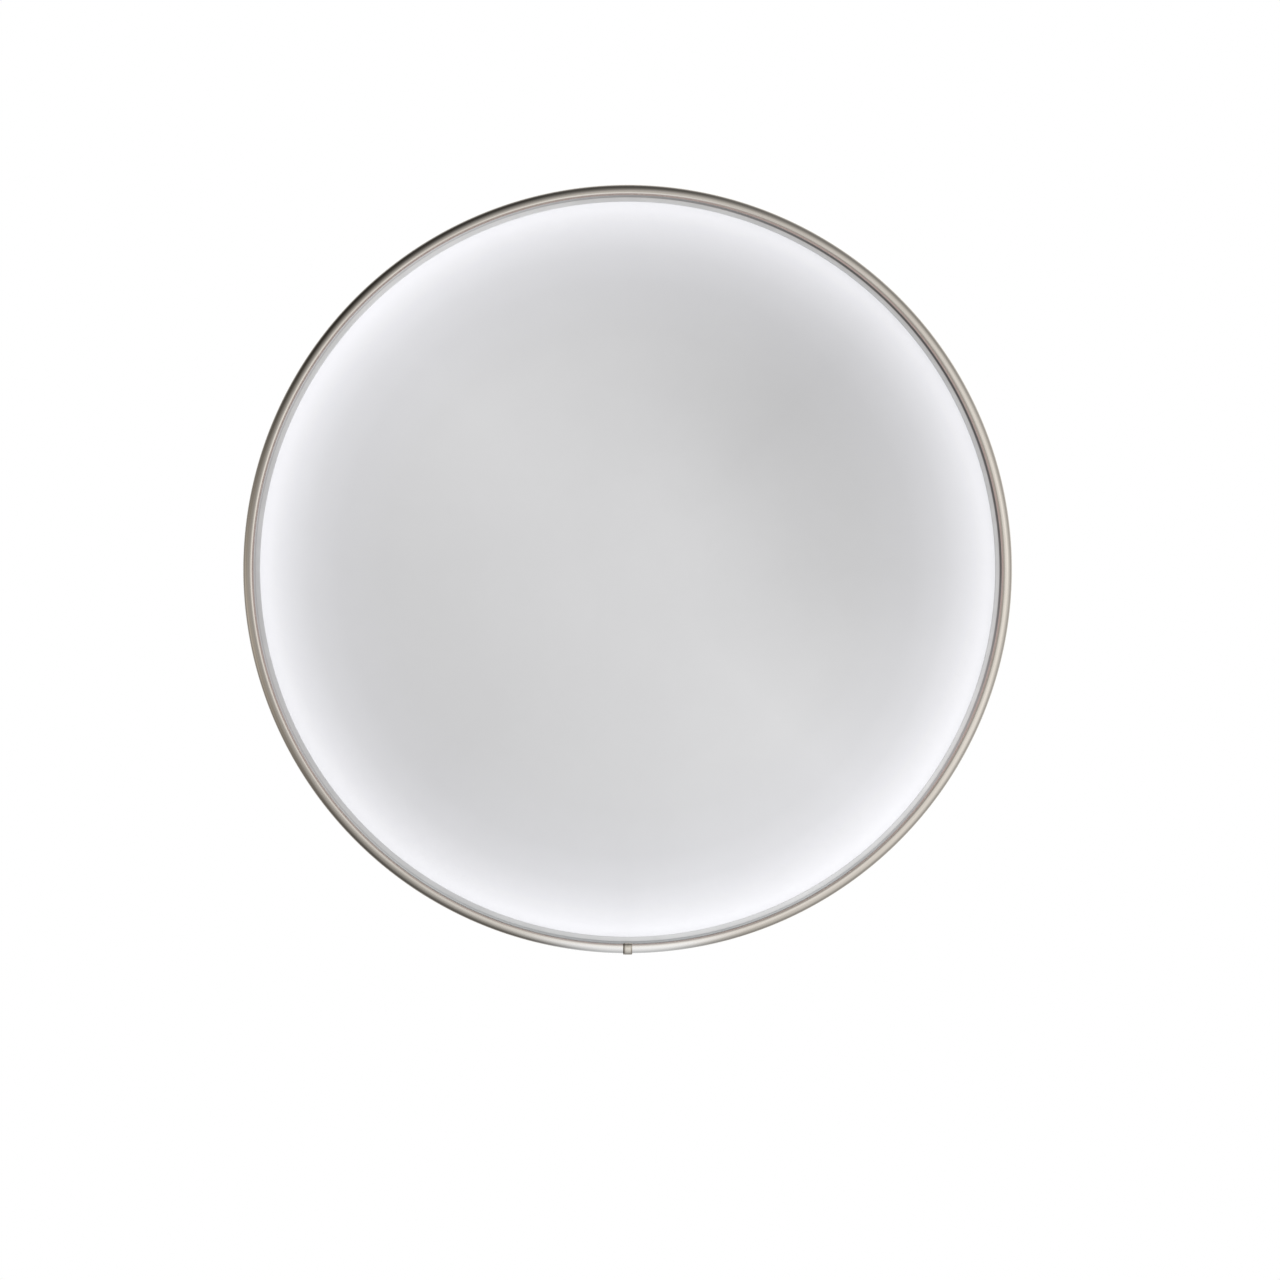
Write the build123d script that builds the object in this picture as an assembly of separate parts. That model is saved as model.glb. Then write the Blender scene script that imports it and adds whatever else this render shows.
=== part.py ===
"""Round lighted advertising sign: a lit opal face under convex glass, held to a steel can by a split hoop.

The origin is the centre of the can's flat back, on the wall. The front faces -Y, +X is to the viewer's
right and +Z is up. "Depth" below is the distance in front of the wall, so a point at depth d has y = -d.
All lengths are millimetres and all angles are degrees.
"""

from build123d import *
from math import cos, degrees, pi, radians, sin, tan
import os

# ---- Driving dimensions ---------------------------------------------------------------------------
sign_dia = 381.0                    # 15 inches across the hoop
hoop_r = sign_dia / 2
overall_depth = 76.0                # wall to the crown of the glass

# Can: a pressed back pan riveted inside a rolled band, which ends in the flange that the hoop grips
can_r = 180.0
can_sheet = 1.0
back_corner = 5.0
back_rim_r = can_r - can_sheet - 0.15
back_rim_front = 12.0
stiffener = (160.0, 170.0, 1.2)     # shallow ring pressed into the back: inner and outer radius, depth
band_back = 4.5
can_rivet_count = 8
can_rivet_depth = 8.3
can_rivet_r = 1.5
can_rivet_head = (2.8, 0.9)         # radius, height
can_rivet_upset = (2.2, 1.1)
can_rivet_seat = 0.04               # its flat head stands this far off the curved band
band_cut = 4.0                      # reach of the band's cutters to each side of its surface

# Stack that the hoop clamps, from back to front
flange_r = 188.5
flange_front = 53.3
panel_sheet = 2.5
panel_r = 188.0
gasket_lip = 1.2
glass_sheet = 3.0
glass_r = 187.0
panel_front = flange_front + panel_sheet
glass_back = panel_front + gasket_lip
glass_front = glass_back + glass_sheet
gasket_front = glass_front + gasket_lip
dome_r = 181.8                      # where the glass starts to rise from its flat rim

# Hoop: rolled strip with a bead at the front, steeper inside than out, and a return lip behind the flange
hoop_sheet = 0.8
bead_outer_r = 3.6
bead_inner_r = 1.55
bead_crest_r = hoop_r - bead_outer_r
bead_crest = 64.5
hoop_back = flange_front - can_sheet - hoop_sheet - 0.2
hoop_corner = 1.2
hoop_lip_r = 184.5
hoop_gap = 1.0                      # open joint at six o'clock
splice_length = 14.0
splice_sheet = 0.6
splice_back = 53.5
splice_front = 60.8

# Sleeve that slides over the hoop's joint
sleeve_width = 4.5
sleeve_clear = 0.15
sleeve_sheet = 0.35
sleeve_lip_r = 186.0
sleeve_wrap = 150.0                 # angle at which its front edge ends, inside the bead

# Gasket that wraps the rim of the glass
gasket_inner_r = 182.1
gasket_rear_r = 183.0
gasket_outer_r = 188.7
gasket_slot_r = glass_r + 0.2
gasket_play = 0.05
gasket_seat = 60.6                  # step that the hoop's inner lip presses on
gasket_step_r = (184.3, 184.9)

# Light strip round the inside of the can
strip_depth = 42.0
strip_width = 8.0
strip_sheet = 0.3
strip_glue = 0.15                   # between the can and the strip
strip_gap = 10.0                    # angle left open at six o'clock
led_count = 66
led_size = (0.8, 2.8, 3.5)          # proud of the strip, across it, along it
resistor_size = (0.55, 1.6, 3.2)
leds_per_resistor = 3

# Ports in the lower side wall: the power inlet at six o'clock and the switch to its right
port_depth = 22.0
jack_angle = 0.0
switch_angle = -14.0

jack_flange_r = 7.0
jack_flange = 2.0
jack_barrel_r = 5.5
jack_barrel_length = 14.0
jack_bore_r = 2.75
jack_bore_depth = 10.0
jack_pin_r = 1.05
jack_pin_root_r = 1.3               # where the pin is moulded into the barrel's floor
jack_pin_recess = 0.8
jack_hole_r = 5.6
jack_tail_x = -3.15
jack_tail_end = -19.0
jack_washer = (5.7, 8.0, 0.8)       # inner radius, outer radius, thickness
jack_nut = (14.0, 2.4)              # across flats, thickness
washer_seat = -1.3                  # the can's wall is curved, so the flat washer seats inside it

tab_width = 1.8
tab_sheet = 0.4

switch_flange = (15.0, 10.5, 1.5)
switch_tub = (13.2, 8.6, 12.0)
switch_cavity = (11.8, 7.0)
switch_floor = -9.5
rocker_width = 6.5
rocker_tilt = 9.0                   # each side of level
rocker_reach = 5.4                  # half length of the paddles
rocker_heights = (2.2, 1.0, -1.5)   # paddle ends, middle, underside
rocker_boss = (1.4, -3.6)           # half width and lower end of the plunger's boss
rocker_pin_r = 0.8
pin_play = 0.05
plunger_r = 0.7
plunger_top = -2.6
plunger_tip = -6.6
plunger_bore_top = -0.8
spring_coil = (0.45, 0.11, 0.42, 1.4)   # coil radius, wire radius, pitch, height
spring_foot = -2.35
contact_pivot = -7.2
contact_tilt = 6.0
contact_bar = (7.4, 3.0, 0.4)
contact_button = (0.8, 0.5)         # radius, height
contact_x = 3.0
contact_rib_r = 0.35                # half-round rib that the arm rocks on
side_tab_x = -3.2
side_tab_top = -8.15
switch_tail_end = -17.5

# Hanger: keyhole plate riveted inside a window in the can's back
hanger_size = (46.0, 40.0)
hanger_sheet = 1.5
hanger_z = 112.0
window_size = (24.0, 28.0)
keyhole_r = 5.0
keyhole_z = 108.0
keyhole_slot = 5.0
keyhole_rise = 10.0
rivet_pitch = (36.0, 31.0)
rivet_r = 1.6
rivet_head = (3.0, 1.2)             # radius, height

vent_slot = (18.0, 3.0)
vent_pitch = 8.0
vent_count = 7
vent_rows = (-146.0, 146.0)

wire_r = 0.8
shrink_tube = (1.1, 1.35, 8.0)      # inner radius, outer radius, length
lead_depths = (39.8, 44.2)          # positive and negative leads, across the strip
lead_gap = 0.15                     # between a lead and the strip's face
pad_x = 13.2                        # where the two leads reach their solder pads
pad_size = (2.3, 2.0, 1.5)
saddle_x = 5.5
saddle_size = (4.0, 11.0)
saddle_top_r = 175.6


# ---- Helpers --------------------------------------------------------------------------------------
def section(*corners):
    """Closed outline from (radius, depth, rounding) corners, ready to turn about the sign's axis."""
    points = [(r, -depth) for r, depth, _ in corners]
    return make_face(FilletPolyline(*points, radius=[c for _, _, c in corners], close=True))


def turned(outline, sweep=360.0, start=0.0):
    """Outline turned about Y. Angles run clockwise from three o'clock, seen from the front."""
    return Rot(0, start, 0) * revolve(outline, Axis.Y, sweep)


def around(part, angle):
    """Part moved round the sign's axis, clockwise seen from the front."""
    return Rot(0, angle, 0) * part


def on_band(angle, depth):
    """Frame on the can's band, clockwise from six o'clock: local z points out, local y to the front."""
    bottom = Plane(origin=(0, -depth, -can_r), x_dir=(1, 0, 0), z_dir=(0, 0, -1))
    return Rot(0, angle, 0) * bottom.location


def side_port(angle):
    return on_band(angle, port_depth)


def block(size, low, high):
    """Box of (x, y) size centred on the local z axis, from height low to height high."""
    return Pos(0, 0, low) * Box(size[0], size[1], high - low, align=(Align.CENTER, Align.CENTER, Align.MIN))


def rod(radius, low, high):
    """Round bar on the local z axis, from height low to height high."""
    return Pos(0, 0, low) * Cylinder(radius, high - low, align=(Align.CENTER, Align.CENTER, Align.MIN))


def tube(inner, outer, low, high):
    return rod(outer, low, high) - rod(inner, low, high)


def cap_arc(edge_r, edge_depth, crown_depth):
    """Arc of a spherical cap in section, from its edge to its crown on the axis."""
    rise = crown_depth - edge_depth
    ball_r = (edge_r ** 2 + rise ** 2) / (2 * rise)
    half_r = edge_r / 2
    half_depth = crown_depth - ball_r + (ball_r ** 2 - half_r ** 2) ** 0.5
    return ThreePointArc((edge_r, -edge_depth), (half_r, -half_depth), (0, -crown_depth))


def save(name, *solids):
    shape = solids[0] if len(solids) == 1 else Compound(children=list(solids))
    export_step(shape, f"parts/{name}.step")


# ---- Can and hanger -------------------------------------------------------------------------------
def back_cutter(outline, x, z):
    """Cutter through the can's back, centred at (x, z)."""
    return extrude(Plane.XZ * Pos(x, z, 0) * outline, 2 * can_sheet, both=True)


def hanger_rivet_spots():
    half_x, half_z = rivet_pitch[0] / 2, rivet_pitch[1] / 2
    return [(sx * half_x, hanger_z + sz * half_z) for sx in (-1, 1) for sz in (-1, 1)]


def make_can_back():
    """Pressed pan with a stiffening ring, a rolled corner and a rim that stands inside the band."""
    inner_r = back_rim_r - can_sheet
    ring_in, ring_out, press = stiffener
    slope, lap = 1.5, 0.35
    pan = turned(section(
        (0, 0, 0), (ring_in, 0, 1), (ring_in + slope, press, 1), (ring_out - slope, press, 1),
        (ring_out, 0, 1), (back_rim_r, 0, back_corner), (back_rim_r, back_rim_front, 0),
        (inner_r, back_rim_front, 0), (inner_r, can_sheet, back_corner - can_sheet),
        (ring_out + lap, can_sheet, 1), (ring_out + lap - slope, can_sheet + press, 1),
        (ring_in - lap + slope, can_sheet + press, 1), (ring_in - lap, can_sheet, 1), (0, can_sheet, 0)))
    pan -= back_cutter(RectangleRounded(*window_size, 3), 0, hanger_z)
    for z in vent_rows:
        for i in range(vent_count):
            x = (i - (vent_count - 1) / 2) * vent_pitch
            pan -= back_cutter(SlotOverall(*vent_slot, rotation=90), x, z)
    for x, z in hanger_rivet_spots():
        pan -= back_cutter(Circle(rivet_r + pin_play), x, z)
    return pan - can_rivet_holes()


def make_can_band():
    """Rolled band with an outward flange at the front."""
    inner_r = can_r - can_sheet
    flange_back = flange_front - can_sheet
    band = turned(section(
        (can_r, band_back, 0), (can_r, flange_back, 0.5), (flange_r, flange_back, 0),
        (flange_r, flange_front, 0), (inner_r, flange_front, 1.5), (inner_r, band_back, 0)))
    band -= side_port(jack_angle) * rod(jack_hole_r, -band_cut, band_cut)
    switch_hole = (switch_tub[0] + 0.4, switch_tub[1] + 0.4)
    band -= side_port(switch_angle) * block(switch_hole, -band_cut, band_cut)
    return band - can_rivet_holes()


def can_rivet_spots():
    pitch = 360 / can_rivet_count
    return [on_band((i + 0.5) * pitch, can_rivet_depth) for i in range(can_rivet_count)]


def can_rivet_holes():
    return [spot * rod(can_rivet_r + pin_play, -band_cut, band_cut) for spot in can_rivet_spots()]


def make_can_rivets():
    """Blind rivets through the band and the pan's rim, domed outside and upset inside."""
    head_r, head_height = can_rivet_head
    upset_r, upset_height = can_rivet_upset
    seat = can_rivet_seat
    inside = back_rim_r - can_sheet - can_r - seat
    rivet = rod(head_r, seat, seat + head_height) + rod(can_rivet_r, inside, seat)
    rivet += rod(upset_r, inside - upset_height, inside)
    rivet = fillet(rivet.edges().group_by(Axis.Z)[-1], 0.7)
    return [spot * rivet for spot in can_rivet_spots()]


def make_hanger_plate():
    """Keyhole plate: the screw head passes the round hole and its shank rises in the slot."""
    outline = Pos(0, hanger_z) * RectangleRounded(*hanger_size, 3)
    outline -= Pos(0, keyhole_z) * Circle(keyhole_r)
    slot = SlotOverall(keyhole_rise + keyhole_slot, keyhole_slot, rotation=90)
    outline -= Pos(0, keyhole_z + keyhole_rise / 2) * slot
    for x, z in hanger_rivet_spots():
        outline -= Pos(x, z) * Circle(rivet_r + pin_play)
    return Pos(0, -can_sheet, 0) * extrude(Plane.XZ * outline, hanger_sheet)


def make_hanger_rivets():
    """Flush at the can's back, domed inside."""
    head_r, head_height = rivet_head
    seat = can_sheet + hanger_sheet
    rivet = rod(rivet_r, 0.1, seat) + rod(head_r, seat, seat + head_height)
    rivet = fillet(rivet.edges().group_by(Axis.Z)[-1], 0.9)
    return [Pos(x, 0, z) * Rot(90, 0, 0) * rivet for x, z in hanger_rivet_spots()]


# ---- Hoop, splice and sleeve ----------------------------------------------------------------------
def section_arc(centre_r, centre_depth, radius, start, end):
    """Arc in section. Angles run from outward towards the front."""
    points = [(centre_r + radius * cos(radians(angle)), -centre_depth - radius * sin(radians(angle)))
              for angle in (start, (start + end) / 2, end)]
    return ThreePointArc(*points)


def skin_line(offset, wrap, lip_r):
    """Edges that follow the hoop's outer skin at an offset, from an angle of the bead to the return lip."""
    inner = section_arc(bead_crest_r, bead_crest - bead_inner_r, bead_inner_r + offset, wrap, 90)
    outer = section_arc(bead_crest_r, bead_crest - bead_outer_r, bead_outer_r + offset, 90, 0)
    back = section_arc(hoop_r - hoop_corner, hoop_back + hoop_corner, hoop_corner + offset, 0, -90)
    return [inner, outer, Line(outer @ 1, back @ 0), back, Line(back @ 1, (lip_r, (back @ 1).Y))]


def hoop_skin(inside, outside, wrap, lip_r, lip_depth=None):
    """Section of a sheet between two offsets from the hoop's outer skin. A lip depth adds a straight inner
    lip that ends there."""
    near, far = skin_line(inside, wrap, lip_r), skin_line(outside, wrap, lip_r)
    if lip_depth is not None:
        for line in near, far:
            line.insert(0, Line(((line[0] @ 0).X, -lip_depth), line[0] @ 0))
    ends = [Line(near[0] @ 0, far[0] @ 0), Line(near[-1] @ 1, far[-1] @ 1)]
    return make_face(Wire([*near, *far, *ends]))


def make_clamp_hoop():
    gap = degrees(hoop_gap / hoop_r)
    skin = hoop_skin(-hoop_sheet, 0, 180, hoop_lip_r, gasket_seat)
    return turned(skin, 360 - gap, 90 + gap / 2)


def make_hoop_splice():
    """Tongue inside the hoop that bridges its open joint."""
    outer_r = hoop_r - hoop_sheet - 0.1
    sweep = degrees(splice_length / hoop_r)
    inner_r = outer_r - splice_sheet
    strip = section((inner_r, splice_back, 0), (outer_r, splice_back, 0), (outer_r, splice_front, 0),
                    (inner_r, splice_front, 0))
    return turned(strip, sweep, 90 - sweep / 2)


def make_hoop_sleeve():
    sweep = degrees(sleeve_width / hoop_r)
    skin = hoop_skin(sleeve_clear, sleeve_clear + sleeve_sheet, sleeve_wrap, sleeve_lip_r)
    return turned(skin, sweep, 90 - sweep / 2)


# ---- Glass, gasket and face -----------------------------------------------------------------------
def make_glass_lens():
    inner_edge_r = dome_r - 0.4
    front = cap_arc(dome_r, glass_front, overall_depth)
    back = cap_arc(inner_edge_r, glass_back, overall_depth - glass_sheet)
    outline = Wire([
        front,
        Line((0, -overall_depth), (0, glass_sheet - overall_depth)),
        back,
        Line((inner_edge_r, -glass_back), (glass_r, -glass_back)),
        Line((glass_r, -glass_back), (glass_r, -glass_front)),
        Line((glass_r, -glass_front), (dome_r, -glass_front)),
    ])
    return turned(make_face(outline))


def make_lens_gasket():
    step_in, step_out = gasket_step_r
    return turned(section(
        (gasket_rear_r, panel_front, 0), (gasket_outer_r, panel_front, 0), (gasket_outer_r, gasket_seat, 0),
        (step_out, gasket_seat, 0), (step_in, gasket_front, 0), (gasket_inner_r, gasket_front, 0.5),
        (gasket_inner_r, glass_front + gasket_play, 0), (gasket_slot_r, glass_front + gasket_play, 0),
        (gasket_slot_r, glass_back - gasket_play, 0), (gasket_rear_r, glass_back - gasket_play, 0)))


def make_face_panel():
    return turned(section((0, flange_front, 0), (panel_r, flange_front, 0), (panel_r, panel_front, 0),
                          (0, panel_front, 0)))


# ---- Light strip ----------------------------------------------------------------------------------
strip_back_r = can_r - can_sheet - strip_glue
strip_face_r = strip_back_r - strip_sheet
strip_sweep = 360 - strip_gap
led_pitch = strip_sweep / led_count


def make_led_strip():
    edge = strip_width / 2
    flex = section((strip_face_r, strip_depth - edge, 0), (strip_back_r, strip_depth - edge, 0),
                   (strip_back_r, strip_depth + edge, 0), (strip_face_r, strip_depth + edge, 0))
    return turned(flex, strip_sweep, 90 + strip_gap / 2)


def strip_part(size, depth):
    """Small component that stands on the strip's face at three o'clock."""
    return Pos(strip_face_r - 0.02 - size[0] / 2, -depth, 0) * Box(*size)


def make_led_packages():
    package = strip_part(led_size, strip_depth)
    package = chamfer(package.faces().sort_by(Axis.X)[0].edges(), 0.15)
    first = 90 + strip_gap / 2 + led_pitch / 2
    return [around(package, first + i * led_pitch) for i in range(led_count)]


def make_strip_resistors():
    chip = strip_part(resistor_size, strip_depth)
    first = 90 + strip_gap / 2 + leds_per_resistor * led_pitch - led_pitch
    group = leds_per_resistor * led_pitch
    return [around(chip, first + i * group) for i in range(led_count // leds_per_resistor)]


# ---- Power inlet ----------------------------------------------------------------------------------
def make_jack_body():
    """Round socket: flange outside the band, barrel inside it, and slots for the pin and the side tail."""
    mouth = jack_flange
    body = rod(jack_flange_r, 0, jack_flange) + rod(jack_barrel_r, -jack_barrel_length, 0)
    body = fillet(body.edges().group_by(Axis.Z)[-1], 0.5)
    body -= rod(jack_bore_r, mouth - jack_bore_depth, mouth + 1)
    body -= rod(jack_pin_root_r + pin_play, -jack_barrel_length - 1, mouth)
    body -= Pos(jack_tail_x, 0, 0) * block((tab_sheet + 0.2, tab_width + 0.2), -jack_barrel_length - 1, -1)
    return body


def make_jack_pin():
    floor, tip = jack_flange - jack_bore_depth, jack_flange - jack_pin_recess
    pin = chamfer(rod(jack_pin_r, floor, tip).edges().group_by(Axis.Z)[-1], 0.25)
    return pin + rod(jack_pin_root_r, -jack_barrel_length, floor)


def make_jack_terminals():
    side = Pos(jack_tail_x, 0, 0) * block((tab_sheet, tab_width), jack_tail_end, -1.5)
    centre = block((tab_sheet, tab_width), jack_tail_end, -jack_barrel_length)
    return [side, centre]


def make_jack_washer():
    inner, outer, thick = jack_washer
    return tube(inner, outer, washer_seat - thick, washer_seat)


def make_jack_nut():
    flats, thick = jack_nut
    top = washer_seat - jack_washer[2]
    nut = extrude(RegularPolygon(flats / 2, 6, major_radius=False), thick)
    nut -= rod(jack_barrel_r + pin_play, 0, thick)
    return Pos(0, 0, top - thick) * nut


# ---- Switch ---------------------------------------------------------------------------------------
def make_switch_housing():
    body = block(switch_flange, 0, switch_flange[2]) + block(switch_tub, -switch_tub[2], 0)
    body = fillet(body.edges().group_by(Axis.Z)[-1], 0.6)
    body -= block(switch_cavity, switch_floor, switch_flange[2] + 1)
    body -= Rot(90, 0, 0) * Cylinder(rocker_pin_r + pin_play, switch_tub[1] + 1)
    for x in (0, side_tab_x):
        body -= Pos(x, 0, 0) * block((tab_sheet + 0.1, tab_width + 0.1), -switch_tub[2] - 1, 0)
    return body


def make_switch_rocker():
    """Level rocker: two paddles that rise to their ends, a boss for the plunger and two pivot pins."""
    crown, dip, under = rocker_heights
    boss, low = rocker_boss
    heel = rocker_reach - 0.2
    outline = make_face(Polyline((-rocker_reach, crown), (0, dip), (rocker_reach, crown), (heel, under),
                                 (boss, under), (boss, low), (-boss, low), (-boss, under), (-heel, under),
                                 close=True))
    rocker = extrude(Plane.XZ * outline, rocker_width / 2, both=True)
    rocker = fillet(rocker.edges().filter_by(Axis.Y).group_by(Axis.Z)[-1], 0.4)
    rocker += Rot(90, 0, 0) * Cylinder(rocker_pin_r, switch_cavity[1] + 1.2)
    return rocker - rod(plunger_r + pin_play, low - 1, plunger_bore_top)


def make_switch_plunger():
    """Round-nosed pin in the rocker's boss, tipped over the contact arm."""
    shank = rod(plunger_r, plunger_tip + plunger_r, plunger_top)
    return shank + Pos(0, 0, plunger_tip + plunger_r) * Sphere(plunger_r)


def make_switch_spring():
    """Coil that presses the plunger down."""
    coil_r, thread_r, pitch, height = spring_coil
    coil = Helix(pitch=pitch, height=height, radius=coil_r)
    wire = Plane(coil @ 0, z_dir=coil % 0) * Circle(thread_r)
    return Pos(0, 0, spring_foot) * sweep(wire, path=coil, is_frenet=True)


def make_contact_arm():
    """Level seesaw with a half-round rib that rocks on the centre terminal and a button under one end."""
    length, width, sheet = contact_bar
    radius, height = contact_button
    bar = block((length, width), contact_pivot, contact_pivot + sheet)
    bar += Pos(0, 0, contact_pivot) * Rot(90, 0, 0) * Cylinder(contact_rib_r, width)
    return bar + Pos(-contact_x, 0, 0) * rod(radius, contact_pivot - height, contact_pivot)


def make_switch_terminals():
    """Centre tab under the arm's rib, and a side tab with a head under the contact button."""
    centre = block((tab_sheet, tab_width), switch_tail_end, contact_pivot - contact_rib_r - 0.1)
    side = Pos(side_tab_x, 0, 0) * block((tab_sheet, tab_width), switch_tail_end, side_tab_top)
    side += Pos(-contact_x, 0, 0) * block((tab_width, tab_width), side_tab_top - tab_sheet, side_tab_top)
    return [centre, side]


def tilted(part, angle, height):
    """Part turned about the local y axis through the given height."""
    return Pos(0, 0, height) * Rot(0, angle, 0) * Pos(0, 0, -height) * part


# ---- Wiring ---------------------------------------------------------------------------------------
def wire_along(name, points):
    """Insulated wire along straight runs joined by arcs as large as the runs allow."""
    corners = [Vector(*p) for p in points]
    bends = []
    for before, here, after in zip(corners, corners[1:], corners[2:]):
        run_in, run_out = here - before, after - here
        turn = run_in.get_angle(run_out)
        bends.append(0.45 * min(run_in.length, run_out.length) / tan(radians(turn / 2)))
    path = FilletPolyline(*points, radius=bends)
    wire = sweep(Plane(path @ 0, z_dir=path % 0) * Circle(wire_r), path=path)
    share = wire.volume / (pi * wire_r ** 2 * path.length)
    print(f"{name}: {path.length:.0f} mm long, tightest bend {min(bends):.1f} mm, volume share {share:.4f}")
    return wire


def port_point(angle, x, height):
    """Point of a side port's frame, in the sign's own axes."""
    spot = (side_port(angle) * Pos(x, 0, height)).position
    return (spot.X, spot.Y, spot.Z)


lead_r = strip_face_r - lead_gap - wire_r


def lead_end(depth, x):
    """Point of a strip lead that lies along the wall at six o'clock."""
    return (x, -depth, -((lead_r ** 2 - pad_x ** 2) ** 0.5) - (pad_x - x) * 0.03)


def make_wires():
    plus, minus = lead_depths
    feed = wire_along("wire_jack_to_switch", [
        port_point(jack_angle, 0, jack_tail_end), (0, -22, -150), (7, -21, -141), (20, -20, -137),
        (31, -21, -139), port_point(switch_angle, 0, -29.5), port_point(switch_angle, 0, switch_tail_end)])
    lit = wire_along("wire_switch_to_strip", [
        port_point(switch_angle, side_tab_x, switch_tail_end), port_point(switch_angle, side_tab_x, -27),
        (30, -30, -147), (20, -37, -151), (9, -39, -158), (0, -39.5, -166), (-2.5, -plus, -173.5),
        lead_end(plus, 1.5), lead_end(plus, pad_x)])
    common = wire_along("wire_jack_to_strip", [
        port_point(jack_angle, jack_tail_x, jack_tail_end), (jack_tail_x, -22, -151.5), (-6, -29, -146),
        (-9, -38, -149), (-9.5, -43, -158), (-7, -minus, -167), (-2.5, -minus, -174),
        lead_end(minus, 1.8), lead_end(minus, pad_x)])
    return feed, lit, common


def make_solder_pads():
    """Soldered ends of the two leads, on the strip's first pads."""
    pads = []
    for depth in lead_depths:
        x, y, z = lead_end(depth, pad_x)
        pad = Pos(x + 0.05, y, z) * Box(*pad_size, align=(Align.MIN, Align.CENTER, Align.CENTER))
        pads.append(fillet(pad.edges().group_by(Axis.Z)[-1], 0.6))
    return pads


def make_wire_saddle():
    """Stick-on saddle that holds both strip leads to the wall."""
    plus, minus = lead_depths
    middle = (plus + minus) / 2
    foot = -can_r + can_sheet + 0.2
    saddle = Pos(saddle_x, -middle, foot) * Box(*saddle_size, -saddle_top_r - foot,
                                                align=(Align.CENTER, Align.CENTER, Align.MIN))
    saddle = fillet(saddle.edges().filter_by(Axis.X).group_by(Axis.Z)[-1], 0.8)
    for depth in lead_depths:
        x, y, z = lead_end(depth, saddle_x)
        saddle -= Pos(x, y, z) * Rot(0, 90, 0) * Cylinder(wire_r + 0.25, 2 * saddle_size[0])
    return saddle


def make_shrink_tubes():
    """Heat-shrink over each soldered tail."""
    inner, outer, length = shrink_tube
    spots = [(jack_angle, 0, jack_tail_end), (jack_angle, jack_tail_x, jack_tail_end),
             (switch_angle, 0, switch_tail_end), (switch_angle, side_tab_x, switch_tail_end)]
    return [side_port(angle) * Pos(x, 0, 0) * tube(inner, outer, end - length / 2, end + length / 2)
            for angle, x, end in spots]


# ---- Write every node -----------------------------------------------------------------------------
os.makedirs("parts", exist_ok=True)

save("can_back", make_can_back())
save("can_band", make_can_band())
save("can_rivets", *make_can_rivets())
save("hanger_plate", make_hanger_plate())
save("hanger_rivets", *make_hanger_rivets())

save("clamp_hoop", make_clamp_hoop())
save("hoop_splice", make_hoop_splice())
save("hoop_sleeve", make_hoop_sleeve())

save("glass_lens", make_glass_lens())
save("lens_gasket", make_lens_gasket())
save("face_panel", make_face_panel())

save("led_flex_strip", make_led_strip())
save("led_packages", *make_led_packages())
save("strip_resistors", *make_strip_resistors())
save("strip_solder_pads", *make_solder_pads())

jack = side_port(jack_angle)
save("dc_jack_body", jack * make_jack_body())
save("dc_jack_pin", jack * make_jack_pin())
save("dc_jack_terminals", *[jack * tail for tail in make_jack_terminals()])
save("dc_jack_washer", jack * make_jack_washer())
save("dc_jack_nut", jack * make_jack_nut())

switch = side_port(switch_angle)
save("switch_housing", switch * make_switch_housing())
save("switch_rocker", switch * tilted(make_switch_rocker(), rocker_tilt, 0))
save("switch_plunger", switch * tilted(make_switch_plunger(), rocker_tilt, 0))
save("switch_spring", switch * tilted(make_switch_spring(), rocker_tilt, 0))
save("switch_contact_arm", switch * tilted(make_contact_arm(), -contact_tilt, contact_pivot))
save("switch_terminals", *[switch * tail for tail in make_switch_terminals()])

for wire_name, wire_solid in zip(("wire_jack_to_switch", "wire_switch_to_strip", "wire_jack_to_strip"),
                                 make_wires()):
    save(wire_name, wire_solid)
save("wire_saddle", make_wire_saddle())
save("shrink_tubes", *make_shrink_tubes())
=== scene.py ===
"""Looks of the round lighted sign: finely turned shells, node materials, studio light and camera.

Metres. The sign faces -Y, its back lies on the wall plane y = 0, and depth means distance in front of it.
"""
import math

import bmesh
import bpy
from mathutils import Matrix, Vector


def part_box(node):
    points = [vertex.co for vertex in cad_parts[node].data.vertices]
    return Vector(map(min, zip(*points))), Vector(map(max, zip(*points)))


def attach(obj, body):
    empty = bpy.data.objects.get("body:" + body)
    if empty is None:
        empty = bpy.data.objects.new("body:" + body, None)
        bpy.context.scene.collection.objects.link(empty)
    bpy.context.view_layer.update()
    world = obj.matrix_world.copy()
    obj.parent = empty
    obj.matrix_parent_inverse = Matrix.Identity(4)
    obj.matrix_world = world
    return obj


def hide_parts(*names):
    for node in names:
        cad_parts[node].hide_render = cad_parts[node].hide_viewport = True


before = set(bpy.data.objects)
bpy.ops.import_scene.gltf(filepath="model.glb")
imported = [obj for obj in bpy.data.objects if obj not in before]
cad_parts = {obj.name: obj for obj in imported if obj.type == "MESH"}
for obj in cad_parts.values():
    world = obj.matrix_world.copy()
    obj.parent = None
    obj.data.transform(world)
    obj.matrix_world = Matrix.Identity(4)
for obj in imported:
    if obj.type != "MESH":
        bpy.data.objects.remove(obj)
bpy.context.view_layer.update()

MM = 0.001
TURNS = 360                       # steps round the sign's axis


# ---- Measures read from the frame -----------------------------------------------------------------
def reach(node):
    """Radius of a round node, to the tenth of a millimetre."""
    return round(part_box(node)[1].x, 4)


def depths(node):
    """Back and front depth of a node."""
    low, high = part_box(node)
    return -high.y, -low.y


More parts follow.
